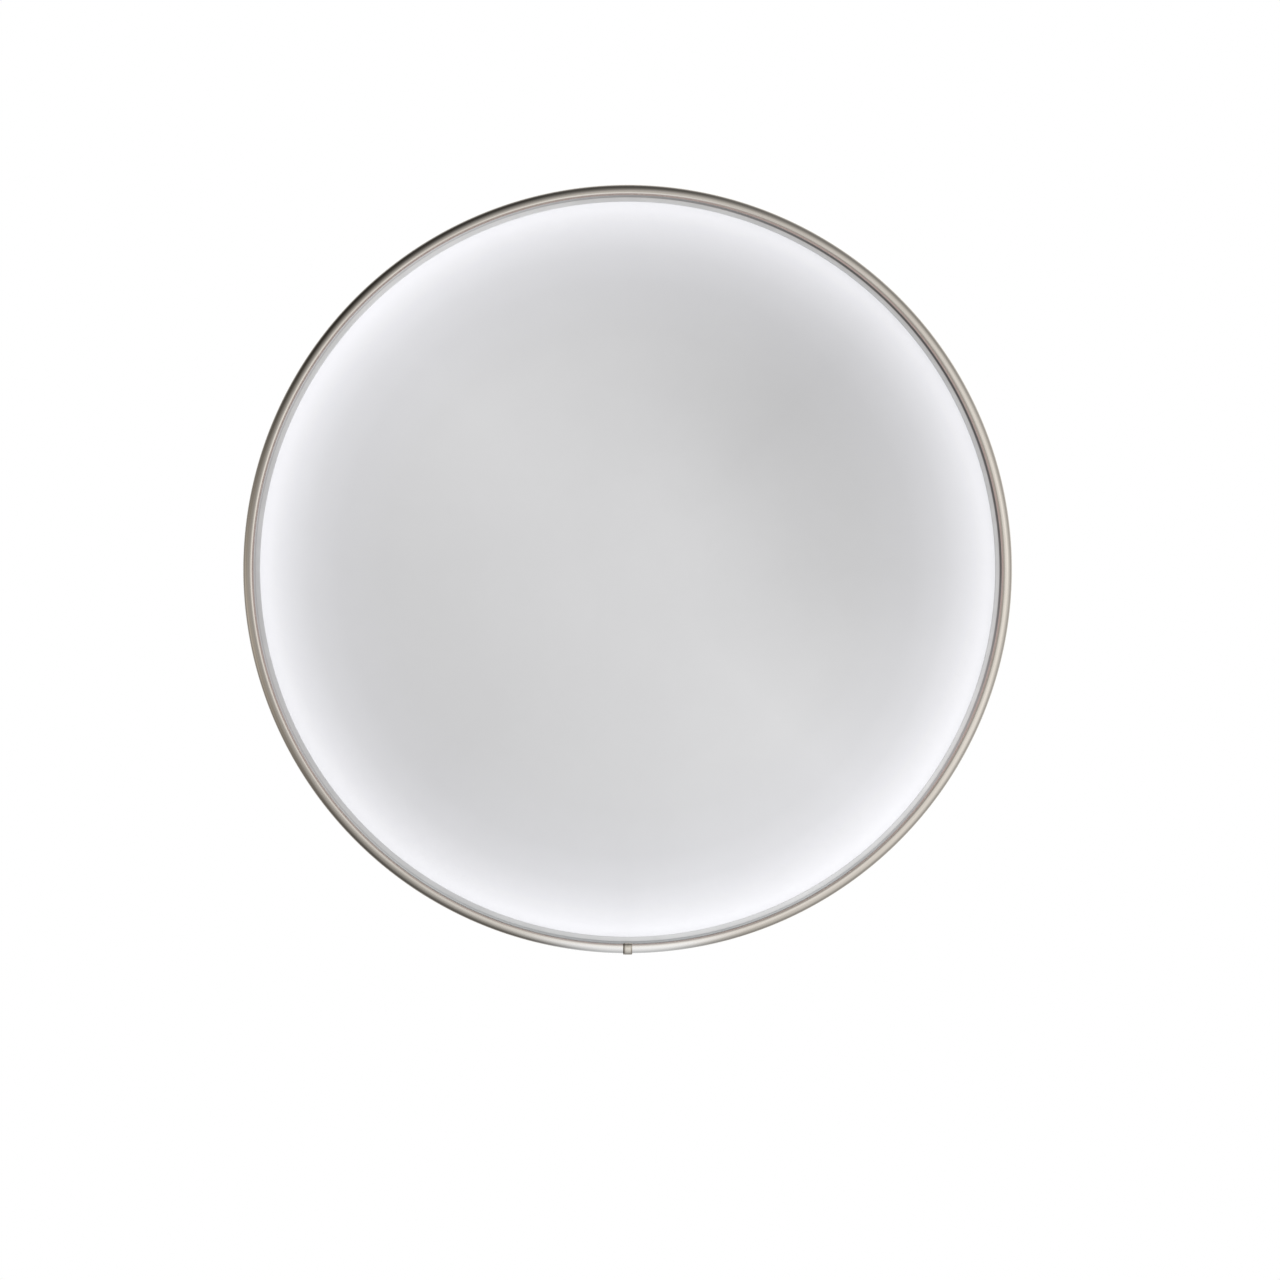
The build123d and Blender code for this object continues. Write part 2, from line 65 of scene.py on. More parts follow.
HOOP_R = reach("clamp_hoop")
HOOP_BACK, HOOP_FRONT = depths("clamp_hoop")
GASKET_BACK, GASKET_FRONT = depths("lens_gasket")
GLASS_R = reach("glass_lens")
GLASS_BACK, CROWN = depths("glass_lens")
FLANGE_R = reach("can_band")
BAND_BACK, FLANGE_FRONT = depths("can_band")
BACK_RIM_R = reach("can_back")
BACK_RIM_FRONT = depths("can_back")[1]

HOOP_SHEET = 0.8 * MM
BEAD_OUTER_R = 3.6 * MM
BEAD_INNER_R = 1.55 * MM
CREST_R = HOOP_R - BEAD_OUTER_R
HOOP_CORNER = 1.2 * MM
HOOP_LIP_R = 184.5 * MM
HOOP_GAP = 1.0 * MM
SLEEVE_WIDTH = 4.5 * MM
SLEEVE_CLEAR = 0.15 * MM
SLEEVE_SHEET = 0.35 * MM
SLEEVE_LIP_R = 186.0 * MM
SLEEVE_WRAP = 150.0               # angle of the bead at which the sleeve's front edge ends
GLASS_SHEET = 3.0 * MM
DOME_R = 181.8 * MM
GASKET_LIP = 1.2 * MM
GASKET_INNER_R = 182.1 * MM
GASKET_REAR_R = 183.0 * MM
GASKET_SLOT_R = GLASS_R + 0.2 * MM
GASKET_SEAT = 60.6 * MM           # step under the hoop's inner lip
GASKET_STEP = (184.3 * MM, 184.9 * MM)
CAN_R = 180.0 * MM
CAN_SHEET = 1.0 * MM
BACK_CORNER = 5.0 * MM
CAN_RIVETS = 8
CAN_RIVET_DEPTH = 8.3 * MM
CAN_RIVET_R = 1.55 * MM
RING_IN, RING_OUT, RING_PRESS = 160.0 * MM, 170.0 * MM, 1.2 * MM
WINDOW = (24.0 * MM, 28.0 * MM, 112.0 * MM)      # width, height, centre height
VENT = (3.0 * MM, 18.0 * MM)
PORT_DEPTH = 22.0 * MM
JACK_TURN, SWITCH_TURN = 180.0, 166.0             # clock angles of the ports
JACK_HOLE_R = 5.6 * MM
SWITCH_HOLE = (13.6 * MM, 9.0 * MM)
VENT_PITCH, VENT_COUNT, VENT_ROWS = 8.0 * MM, 7, (-146.0 * MM, 146.0 * MM)
STRIP_SWEEP = 350.0               # angle that the light strip covers
LIGHT_GROUPS = 22
RAIL = (2.0 * MM, 3.6 * MM)       # edges of a copper rail, from the strip's middle


# ---- Mesh helpers ---------------------------------------------------------------------------------
def arc(centre, radius, start, end, steps):
    """(radius, depth) points of an arc. Angles are in degrees, from outward, turning to the front."""
    points = []
    for i in range(steps + 1):
        angle = math.radians(start + (end - start) * i / steps)
        points.append((centre[0] + radius * math.cos(angle), centre[1] + radius * math.sin(angle)))
    return points


def rounded(corners, steps=6):
    """Closed outline from (radius, depth, rounding) corners, each rounding drawn as an arc."""
    outline = []
    for i, (r, d, rounding) in enumerate(corners):
        here = Vector((r, d))
        if rounding == 0:
            outline.append((r, d))
            continue
        to_last = (Vector(corners[i - 1][:2]) - here).normalized()
        to_next = (Vector(corners[(i + 1) % len(corners)][:2]) - here).normalized()
        half = to_last.angle(to_next) / 2
        middle = here + (to_last + to_next).normalized() * rounding / math.sin(half)
        first = here + to_last * rounding / math.tan(half) - middle
        last = here + to_next * rounding / math.tan(half) - middle
        swing = first.angle_signed(last)
        for step in range(steps + 1):
            point = middle + Matrix.Rotation(-swing * step / steps, 2) @ first
            outline.append((point.x, point.y))
    return outline


def finished_mesh(name, bm, sharp=30):
    """Object from a bmesh, shaded smooth up to the edges sharper than an angle in degrees."""
    mesh = bpy.data.meshes.new(name)
    bm.to_mesh(mesh)
    bm.free()
    for face in mesh.polygons:
        face.use_smooth = True
    mesh.set_sharp_from_angle(angle=math.radians(sharp))
    piece = bpy.data.objects.new(name, mesh)
    bpy.context.scene.collection.objects.link(piece)
    return piece


def join_rings(name, rings, loop, closed, sharp=30):
    """Mesh object through rings of points. loop joins the last ring to the first, closed joins each ring's
    ends, and points on the axis are shared."""
    bm = bmesh.new()
    on_axis = {}
    grid = []
    for ring in rings:
        row = []
        for i, point in enumerate(ring):
            if math.hypot(point[0], point[2]) < 1e-7:
                if i not in on_axis:
                    on_axis[i] = bm.verts.new(point)
                row.append(on_axis[i])
            else:
                row.append(bm.verts.new(point))
        grid.append(row)
    count = len(rings[0])
    for a in range(len(grid) if loop else len(grid) - 1):
        this, after = grid[a], grid[(a + 1) % len(grid)]
        for b in range(count if closed else count - 1):
            c = (b + 1) % count
            corners = [this[b], this[c], after[c], after[b]]
            bm.faces.new(list(dict.fromkeys(corners)))
    if not loop and closed:
        bm.faces.new(grid[0])
        bm.faces.new(list(reversed(grid[-1])))
    bmesh.ops.recalc_face_normals(bm, faces=bm.faces)
    return finished_mesh(name, bm, sharp)


def turned_ring(outline, angle):
    """Outline placed round the sign's axis. The angle runs clockwise from three o'clock."""
    turn = math.radians(angle)
    return [(r * math.cos(turn), -d, -r * math.sin(turn)) for r, d in outline]


def lathe(name, outline, start=0.0, sweep=360.0, closed=True, sharp=30):
    """Outline of (radius, depth) points turned about the sign's axis."""
    loop = sweep == 360.0
    count = TURNS if loop else TURNS + 1
    rings = [turned_ring(outline, start + sweep * i / TURNS) for i in range(count)]
    return join_rings(name, rings, loop, closed, sharp)


def stands_for(piece, body, slot, *nodes):
    """Puts a piece on its body, in place of the CAD nodes that it shows."""
    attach(piece, body)
    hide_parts(*nodes)
    return piece


# ---- Shader helpers -------------------------------------------------------------------------------
def full_colour(value):
    """RGBA from a grey or an RGB colour."""
    return (value, value, value, 1.0) if isinstance(value, (int, float)) else (*value, 1.0)


class Tree:
    """Short ways to add and link nodes in one node tree."""

    def __init__(self, tree):
        self.tree = tree
        coordinates = self.add("ShaderNodeTexCoord")
        self.place = coordinates.outputs["Object"]
        self.direction = coordinates.outputs["Generated"]

    def add(self, kind, inputs=None, **settings):
        """New node with its inputs, values or other nodes' outputs, and its settings."""
        node = self.tree.nodes.new(kind)
        for name, value in settings.items():
            setattr(node, name, value)
        for name, value in (inputs or {}).items():
            self.feed(node.inputs[name], value)
        return node

    def feed(self, socket, value):
        if isinstance(value, bpy.types.NodeSocket):
            self.tree.links.new(value, socket)
        else:
            socket.default_value = value

    def sum(self, operation, *values):
        """Result of one math operation."""
        node = self.add("ShaderNodeMath", dict(enumerate(values)), operation=operation)
        return node.outputs[0]

    def span(self, value, low, high, to_low=0.0, to_high=1.0, smooth=True):
        """Value carried from one range to another, and kept inside it."""
        kind = "SMOOTHSTEP" if smooth else "LINEAR"
        node = self.add("ShaderNodeMapRange", {0: value, 1: low, 2: high, 3: to_low, 4: to_high},
                        interpolation_type=kind)
        return node.outputs[0]

    def split(self, vector):
        return self.add("ShaderNodeSeparateXYZ", {0: vector}).outputs

    def round_place(self, source):
        """Clock angle from twelve o'clock, in radians from -pi to pi, and distance from the sign's axis."""
        x, y, z = self.split(source)
        angle = self.sum("ARCTAN2", x, z)
        radius = self.sum("SQRT", self.sum("ADD", self.sum("MULTIPLY", x, x), self.sum("MULTIPLY", z, z)))
        return angle, radius, y

    def noise(self, scale, detail=3.0, stretch=(1, 1, 1), place=None, rough=0.5):
        spread = self.add("ShaderNodeVectorMath", {0: self.place if place is None else place, 1: stretch},
                          operation="MULTIPLY")
        node = self.add("ShaderNodeTexNoise", {"Vector": spread.outputs[0], "Scale": scale, "Detail": detail,
                                               "Roughness": rough})
        return node.outputs["Fac"]

    def cells(self, scale):
        """Distance and colour of a pattern of cells."""
        return self.add("ShaderNodeTexVoronoi", {"Vector": self.place, "Scale": scale}).outputs

    def mix(self, factor, first, second, how="MIX"):
        node = self.add("ShaderNodeMix", data_type="RGBA", blend_type=how)
        for socket, value in zip([node.inputs[0], node.inputs[6], node.inputs[7]], [factor, first, second]):
            self.feed(socket, value)
        return node.outputs[2]

    def ramp(self, factor, stops):
        """Colour ramp through (position, grey or colour) stops."""
        node = self.add("ShaderNodeValToRGB", {0: factor})
        elements = node.color_ramp.elements
        for i, (position, colour) in enumerate(stops):
            element = elements[i] if i < 2 else elements.new(position)
            element.position = position
            element.color = full_colour(colour)
        return node.outputs[0]


class Look(Tree):
    """Material round one Principled shader. shader holds the values that are the same all over."""

    def __init__(self, name, shader=None):
        self.material = bpy.data.materials.new(name)
        self.material.use_nodes = True
        super().__init__(self.material.node_tree)
        self.shader = self.tree.nodes["Principled BSDF"]
        for socket, value in (shader or {}).items():
            self.shader.inputs[socket].default_value = value

    def set(self, socket, value):
        self.feed(self.shader.inputs[socket], value)

    def bump(self, height, strength, distance, over=None):
        inputs = {"Height": height, "Strength": strength, "Distance": distance}
        if over is not None:
            inputs["Normal"] = over
        return self.add("ShaderNodeBump", inputs).outputs[0]

    def mottle(self, colour, darker, scale, detail=3.0):
        """Base colour that wanders between a colour and a darker share of it."""
        shade = self.span(self.noise(scale, detail), 0.35, 0.68)
        dark = tuple(c * darker for c in colour)
        return self.mix(shade, full_colour(dark), full_colour(colour))


# ---- Light of the lit face ------------------------------------------------------------------------
# Brightness from the face's middle to its rim, as (share of the radius, light)
GLOW = ((0.0, 0.508), (0.20, 0.502), (0.35, 0.488), (0.50, 0.473), (0.66, 0.466), (0.78, 0.485),
        (0.86, 0.545), (0.92, 0.645), (0.955, 0.725), (0.98, 0.80), (1.0, 0.775))
# Painted reflection of soft lights in the domed glass, round the face: (clock angle, light) from one six
# o'clock to the next
PAINTED_REFLECTION = ((-180, 0.52), (-135, 0.45), (-90, 0.505), (-45, 0.665), (0, 0.48), (45, 0.22), (90, 0.32),
          (135, 0.66), (180, 0.52))
# Painted glow on the gasket's lip, standing in for the lit face's light coming through it, as (clock angle,
# light)
GASKET_GLOW = ((-180, 0.29), (-150, 0.175), (-120, 0.07), (-90, 0.066), (-60, 0.12), (-30, 0.205),
               (0, 0.13), (30, 0.08), (60, 0.10), (90, 0.19), (120, 0.355), (150, 0.38), (180, 0.29))
# The same painted glow in the gasket's step, under the hoop's lip, and the painted shadow that darkens the
# step
STEP_GLOW = ((-180, 0.20), (-150, 0.27), (-120, 0.19), (-90, 0.17), (-60, 0.22), (-30, 0.27), (0, 0.12),
             (30, 0.01), (90, 0.0), (120, 0.18), (150, 0.33), (180, 0.20))
STEP_SHADOW = ((-180, 0.58), (-90, 0.56), (-30, 0.58), (0, 0.45), (30, 0.27), (60, 0.23), (90, 0.34),
             (120, 0.58), (150, 0.62), (180, 0.58))
# Painted glow on the bead's inner side and on the copper line along its edge, for the lit face's light caught
# there
FLANK_GLOW = ((-180, 0.23), (-150, 0.08), (-120, 0.0), (0, 0.0), (30, 0.04), (60, 0.06), (90, 0.05),
              (120, 0.11), (150, 0.15), (180, 0.23))
COPPER_GLOW = ((-180, 0.29), (-150, 0.28), (-120, 0.20), (-90, 0.15), (-60, 0.125), (-30, 0.145), (0, 0.155),
               (30, 0.25), (60, 0.27), (90, 0.29), (120, 0.33), (150, 0.32), (180, 0.29))
NICKEL_TINT = (1.0, 0.94, 0.86)
COPPER_TINT = (1.0, 0.76, 0.69)


def round_table(look, angle, table):
    """Value from a table of (clock angle, value) all round the sign."""
    turn = look.span(angle, -math.pi, math.pi, smooth=False)
    return look.ramp(turn, [((degrees + 180) / 360, value) for degrees, value in table])


# ---- Materials ------------------------------------------------------------------------------------
def copper_line(look, angle, radius, front, grains):
    """Copper that shows along the bead's inner edge, and painted shade over it in the sign's lower part."""
    low = look.span(look.sum("ABSOLUTE", angle), math.radians(110), math.radians(150))
    # Painted shade: the bead's innermost edge in the lower part is darkened where hoop and gasket meet.
    lower_edge_shade = look.sum("MULTIPLY", low, look.span(radius, CREST_R - MM, CREST_R - 1.25 * MM))
    inner = look.sum("MULTIPLY", look.span(radius, CREST_R - 0.55 * MM, CREST_R - MM),
                     look.sum("SUBTRACT", 1.0, lower_edge_shade))
    speck = look.span(grains, 0.30, 0.62, 0.55, 1.0)
    return look.sum("MULTIPLY", look.sum("MULTIPLY", inner, front), speck), lower_edge_shade


def painted_caught_light(look, angle, radius, front, copper):
    """Painted glow on the bead's inner side and on its copper line, standing in for the lit face's light."""
    flank = look.sum("MULTIPLY", look.span(radius, CREST_R + 0.7 * MM, CREST_R),
                     look.span(radius, CREST_R - 1.2 * MM, CREST_R - 0.8 * MM))
    warm = look.mix(1.0, full_colour(NICKEL_TINT), round_table(look, angle, FLANK_GLOW), "MULTIPLY")
    red = look.mix(1.0, full_colour(COPPER_TINT), round_table(look, angle, COPPER_GLOW), "MULTIPLY")
    return look.mix(copper, look.mix(look.sum("MULTIPLY", flank, front), full_colour(0.0), warm), red)


def nickel_look():
    """Satin nickel, drawn lengthwise, over copper, with a painted highlight beside the joint, painted shade
    along the inner edge low down and a painted glow on the bead's inner side.
    """
    look = Look("satin_nickel", {"Anisotropic": 0.3, "Anisotropic Rotation": 0.25, "Emission Strength": 1.0})
    angle, radius, y = look.round_place(look.place)
    along = look.sum("MULTIPLY", angle, HOOP_R)
    drawn = look.add("ShaderNodeCombineXYZ", {0: along, 1: radius, 2: y}).outputs[0]
    lines = look.noise(900, 3, (0.02, 1, 1), drawn)
    clouds = look.noise(28, 4, (0.6, 1, 1), drawn)
    grains = look.noise(1500, 2)
    front = look.span(y, 0.6 * MM - GASKET_SEAT, -0.2 * MM - GASKET_SEAT)
    copper, lower_edge_shade = copper_line(look, angle, radius, front, grains)
    plate = look.mix(look.span(lines, 0.3, 0.7), full_colour((0.69, 0.64, 0.575)),
                     full_colour((0.77, 0.72, 0.655)))
    plate = look.mix(look.span(clouds, 0.42, 0.7, 0, 0.3), plate, full_colour((0.62, 0.57, 0.50)))
    # Painted highlight: the plate is lightened beside the joint at six o'clock.
    painted_glint = look.span(look.sum("ABSOLUTE", angle), math.radians(160), math.radians(174))
    plate = look.mix(look.sum("MULTIPLY", painted_glint, 0.7), plate, full_colour((0.95, 0.93, 0.90)))
    # Painted shade along the bead's inner edge in the lower part.
    plate = look.mix(look.sum("MULTIPLY", lower_edge_shade, 0.6), plate, full_colour((0.16, 0.155, 0.155)))
    # Painted glow on the bead's inner side and copper line.
    look.set("Emission Color", painted_caught_light(look, angle, radius, front, copper))
    look.set("Base Color", look.mix(copper, plate, full_colour((0.25, 0.195, 0.18))))
    look.set("Metallic", look.span(copper, 0, 1, 1.0, 0.2))
    look.set("Roughness", look.sum("ADD", look.span(lines, 0.25, 0.75, 0.15, 0.24),
                                   look.sum("MULTIPLY", copper, 0.2)))
    relief = look.bump(lines, 0.10, 0.02 * MM)
    look.set("Normal", look.bump(grains, 0.08, 0.02 * MM, relief))
    look.set("Tangent", look.add("ShaderNodeTangent", direction_type="RADIAL", axis="Y").outputs[0])
    return look.material


def sleeve_look():
    """The hoop's nickel with fine scratches, and painted shade on the sleeve's rolled edges and outermost
    skin.
    """
    look = Look("sleeve_nickel", {"Metallic": 1.0})
    x, y, z = look.split(look.place)
    edge = look.span(look.sum("ABSOLUTE", look.sum("ADD", x, -0.25 * MM)), 1.0 * MM, 2.2 * MM)
    outer = look.span(z, -HOOP_R + 0.9 * MM, -HOOP_R - 0.2 * MM)
    scratches = look.noise(2600, 3, (1, 0.15, 0.15))
    body = look.mix(look.span(scratches, 0.3, 0.7), full_colour((0.72, 0.665, 0.58)),
                    full_colour((0.83, 0.775, 0.685)))
    # Painted shade: darker towards the rolled edges and the outermost skin.
    edge_shade = look.sum("MAXIMUM", edge, look.sum("MULTIPLY", outer, 0.8))
    look.set("Base Color", look.mix(edge_shade, body, full_colour((0.30, 0.265, 0.22))))
    look.set("Roughness", look.sum("ADD", look.span(scratches, 0.3, 0.7, 0.2, 0.32),
                                   look.sum("MULTIPLY", edge_shade, 0.15)))
    look.set("Normal", look.bump(scratches, 0.15, 0.02 * MM))
    return look.material


def glass_look():
    """Clear pressed glass, with the faintest wiping haze."""
    look = Look("clear_glass", {"Transmission Weight": 1.0, "IOR": 1.5, "Base Color": (1, 1, 1, 1)})
    haze = look.noise(14, 5, (1, 1, 0.4))
    look.set("Roughness", look.span(haze, 0.45, 0.8, 0.0, 0.025))
    return look.material


def gasket_look():
    """Light grey silicone with a matt moulded skin and fine filler specks. A painted glow on its lip stands
    in for the lit face's light coming through it, and painted shadow darkens its step, most on the upper
    right."""
    look = Look("grey_silicone", {"Specular IOR Level": 0.4, "Emission Strength": 1.3})
    angle, radius, _ = look.round_place(look.place)
    specks = look.noise(3200, 2)
    tone = look.mix(look.span(look.noise(60, 4), 0.35, 0.7), full_colour((0.70, 0.705, 0.71)),
                    full_colour((0.76, 0.765, 0.77)))
    skin = look.mix(look.span(specks, 0.62, 0.74, 0, 0.3), tone, full_colour(0.5))
    step = look.span(radius, GASKET_STEP[0] - 0.35 * MM, GASKET_STEP[0] + 0.2 * MM)
    # Painted shadow: the step under the hoop's lip is darkened, most on the upper right.
    step_shadow = look.mix(1.0, full_colour((0.95, 1.0, 1.03)), round_table(look, angle, STEP_SHADOW), "MULTIPLY")
    look.set("Base Color", look.mix(step, skin, step_shadow))
    # Painted glow: emission on the lip and step stands in for the face's light coming through the silicone.
    through = look.mix(step, round_table(look, angle, GASKET_GLOW), round_table(look, angle, STEP_GLOW))
    look.set("Emission Color", look.mix(1.0, skin, through, "MULTIPLY"))
    look.set("Roughness", look.span(specks, 0.3, 0.7, 0.48, 0.62))
    look.set("Normal", look.bump(specks, 0.2, 0.03 * MM))
    return look.material


def face_look():
    """Opal acrylic lit from its rim: brightest over the light strip, with a dim streak at its ends and a
    painted reflection of the domed glass over it.
    """
    look = Look("lit_opal_acrylic", {"IOR": 1.49, "Emission Strength": 1.0})
    angle, radius, y = look.round_place(look.place)
    share = look.sum("DIVIDE", radius, GASKET_INNER_R)
    glow = look.ramp(share, GLOW)
    # Painted reflection: brightness swings round the face, brighter from upper left to lower right.
    spread = round_table(look, angle, PAINTED_REFLECTION)
    ring = look.sum("MULTIPLY", look.span(share, 0.12, 0.62), look.span(share, 1.05, 0.70, 0.35, 1.0))
    swing = look.sum("MULTIPLY", look.sum("SUBTRACT", spread, 0.48), ring)
    x, _, z = look.split(look.place)
    below = look.sum("MULTIPLY", look.span(z, -0.6 * GASKET_INNER_R, -GASKET_INNER_R),
                     look.span(look.sum("ABSOLUTE", x), 11 * MM, 0.0))
    cloud = look.span(look.noise(9, 3), 0.3, 0.7, -0.004, 0.004)
    level = look.sum("ADD", look.sum("ADD", 1.0, look.sum("MULTIPLY", swing, 0.8)), cloud)
    level = look.sum("SUBTRACT", level, look.sum("MULTIPLY", below, 0.02))
    tint = look.mix(look.span(share, 0.55, 0.95), full_colour((1.0, 1.0, 1.011)),
                    full_colour((0.988, 0.989, 1.028)))
    lit = look.mix(1.0, glow, tint, "MULTIPLY")
    look.set("Emission Color", look.mix(1.0, lit, look.add("ShaderNodeCombineXYZ", {
        0: level, 1: level, 2: level}).outputs[0], "MULTIPLY"))
    look.set("Base Color", look.mottle((0.30, 0.30, 0.305), 0.97, 40))
    look.set("Roughness", look.span(look.noise(500, 2), 0.3, 0.7, 0.30, 0.38))
    look.set("Normal", look.bump(look.noise(1800, 2), 0.06, 0.02 * MM))
    return look.material


def powder_look():
    """Satin powder coat: orange-peel skin, faint mottling and a rubbed ring where the back's rim meets the
    wall."""
    look = Look("white_powder_coat", {"Coat Weight": 0.12, "Coat Roughness": 0.25})
    peel = look.sum("ADD", look.noise(750, 2), look.sum("MULTIPLY", look.noise(2600, 2), 0.5))
    dirt = look.span(look.noise(22, 6, rough=0.62), 0.52, 0.78, 0, 0.5)
    tone = look.mottle((0.76, 0.76, 0.745), 0.955, 7, 5)
    _, radius, y = look.round_place(look.place)
    corner = look.span(radius, RING_OUT, BACK_RIM_R - 0.6 * BACK_CORNER)
    rim = look.sum("MULTIPLY", corner, look.span(y, -MM, 0))
    rubbed = look.sum("MULTIPLY", rim, look.span(look.noise(90, 5, rough=0.7), 0.42, 0.66, 0.1, 0.8))
    tone = look.mix(look.sum("MULTIPLY", dirt, 0.16), tone, full_colour((0.46, 0.44, 0.40)))
    look.set("Base Color", look.mix(rubbed, tone, full_colour((0.52, 0.51, 0.49))))
    look.set("Roughness", look.sum("ADD", look.span(peel, 0.5, 1.0, 0.34, 0.44),
                                   look.sum("MULTIPLY", dirt, 0.12)))
    look.set("Normal", look.bump(peel, 0.22, 0.08 * MM))
    return look.material


def metal_look(name, colour, rough, stretch=(1, 1, 1), scale=500, shift=0.8, blotch=60):
    """Bare or plated metal: lengthwise or even grain, with blotches of duller plating."""
    look = Look(name, {"Metallic": 1.0})
    grain = look.noise(scale, 4, stretch)
    dull = look.span(look.noise(blotch, 4), 0.42, 0.7)
    tone = look.mix(look.span(grain, 0.3, 0.7), full_colour(tuple(c * shift for c in colour)),
                    full_colour(colour))
    look.set("Base Color", look.mix(look.sum("MULTIPLY", dull, 0.45), tone,
                                    full_colour(tuple(c * 0.72 for c in colour))))
    look.set("Roughness", look.sum("ADD", look.span(grain, 0.3, 0.7, rough, rough + 0.1),
                                   look.sum("MULTIPLY", dull, 0.14)))
    look.set("Normal", look.bump(grain, 0.18, 0.03 * MM))
    return look.material


def spangle_look():
    """Zinc plate with its patchwork of crystals."""
    look = Look("zinc_plate", {"Metallic": 1.0})
    tone = look.span(look.split(look.cells(420)["Color"])[0], 0, 1)
    look.set("Base Color", look.mix(tone, full_colour((0.36, 0.38, 0.40)), full_colour((0.58, 0.59, 0.61))))
    look.set("Roughness", look.sum("ADD", look.span(tone, 0, 1, 0.26, 0.42),
                                   look.span(look.noise(900, 2), 0.3, 0.7, 0, 0.08)))
    look.set("Normal", look.bump(look.noise(700, 3, (1, 1, 0.1)), 0.12, 0.02 * MM))
    return look.material


def plastic_look(name, colour, rough, scale=1400, relief=0.25, darker=0.8, sheen=None):
    """Moulded plastic with a spark-eroded skin and a little handling wear."""
    look = Look(name, sheen or {})
    pits = look.cells(scale * 0.7)["Distance"]
    skin = look.sum("ADD", look.noise(scale, 2), look.sum("MULTIPLY", pits, 0.4))
    rub = look.span(look.noise(130, 5), 0.46, 0.72)
    look.set("Base Color", look.mix(rub, full_colour(tuple(c * darker for c in colour)), full_colour(colour)))
    look.set("Roughness", look.sum("ADD", look.span(skin, 0.4, 0.9, rough, rough + 0.12),
                                   look.sum("MULTIPLY", rub, -0.05)))
    look.set("Normal", look.bump(skin, relief, 0.04 * MM))
    return look.material


def wire_look(name, colour):
    """PVC insulation: extruded skin with soft lengthwise unevenness and a dusty bloom."""
    look = Look(name, {"Specular IOR Level": 0.45})
    bloom = look.span(look.noise(420, 4), 0.4, 0.75, 0, 0.22)
    look.set("Base Color", look.mix(bloom, look.mottle(colour, 0.78, 160), full_colour(0.55)))
    look.set("Roughness", look.span(look.noise(900, 3), 0.3, 0.7, 0.36, 0.52))
    look.set("Normal", look.bump(look.noise(260, 2), 0.25, 0.1 * MM))
    return look.material


def strip_look():
    """White solder resist over two copper rails, with bare pads between the light groups."""
    look = Look("strip_solder_resist", {"Coat Weight": 0.25, "Coat Roughness": 0.2})
    angle, _, y = look.round_place(look.place)
    middle = sum(depths("led_flex_strip")) / 2
    across = look.sum("ABSOLUTE", look.sum("ADD", y, middle))
    soft = 0.1 * MM
    rail = look.sum("MULTIPLY", look.span(across, RAIL[0] - soft, RAIL[0] + soft),
                    look.span(across, RAIL[1] + soft, RAIL[1] - soft))
    along = look.sum("FRACT", look.sum("MULTIPLY", angle, LIGHT_GROUPS / math.radians(STRIP_SWEEP)))
    pad = look.sum("MULTIPLY", rail, look.span(look.sum("ABSOLUTE", look.sum("SUBTRACT", along, 0.5)),
                                               0.05, 0.035))
    resist = look.mix(look.sum("MULTIPLY", rail, 0.5), look.mottle((0.80, 0.80, 0.78), 0.94, 90),
                      full_colour((0.70, 0.69, 0.63)))
    look.set("Base Color", look.mix(pad, resist, full_colour((0.80, 0.55, 0.33))))
    look.set("Metallic", pad)
    look.set("Roughness", look.span(look.noise(800, 2), 0.3, 0.7, 0.28, 0.42))
    look.set("Normal", look.bump(look.sum("ADD", rail, look.noise(900, 2)), 0.2, 0.03 * MM))
    return look.material


def led_look():
    """Light package: phosphor resin inside a white moulded cup, glowing."""
    look = Look("led_phosphor", {"Emission Strength": 1.5, "IOR": 1.5})
    _, radius, y = look.round_place(look.place)
    middle = sum(depths("led_packages")) / 2
    across = look.sum("ABSOLUTE", look.sum("ADD", y, middle))
    resin = look.span(across, 1.15 * MM, 0.95 * MM)
    grains = look.noise(5200, 2)
    yellow = look.mix(look.span(grains, 0.3, 0.7), full_colour((0.86, 0.66, 0.20)),
                      full_colour((0.95, 0.80, 0.34)))
    look.set("Base Color", look.mix(resin, full_colour((0.86, 0.86, 0.84)), yellow))
    look.set("Emission Color", look.mix(resin, full_colour(0.0), full_colour((1.0, 0.97, 0.9))))
    look.set("Roughness", look.span(grains, 0.3, 0.7, 0.3, 0.45))
    look.set("Normal", look.bump(grains, 0.15, 0.02 * MM))
    return look.material


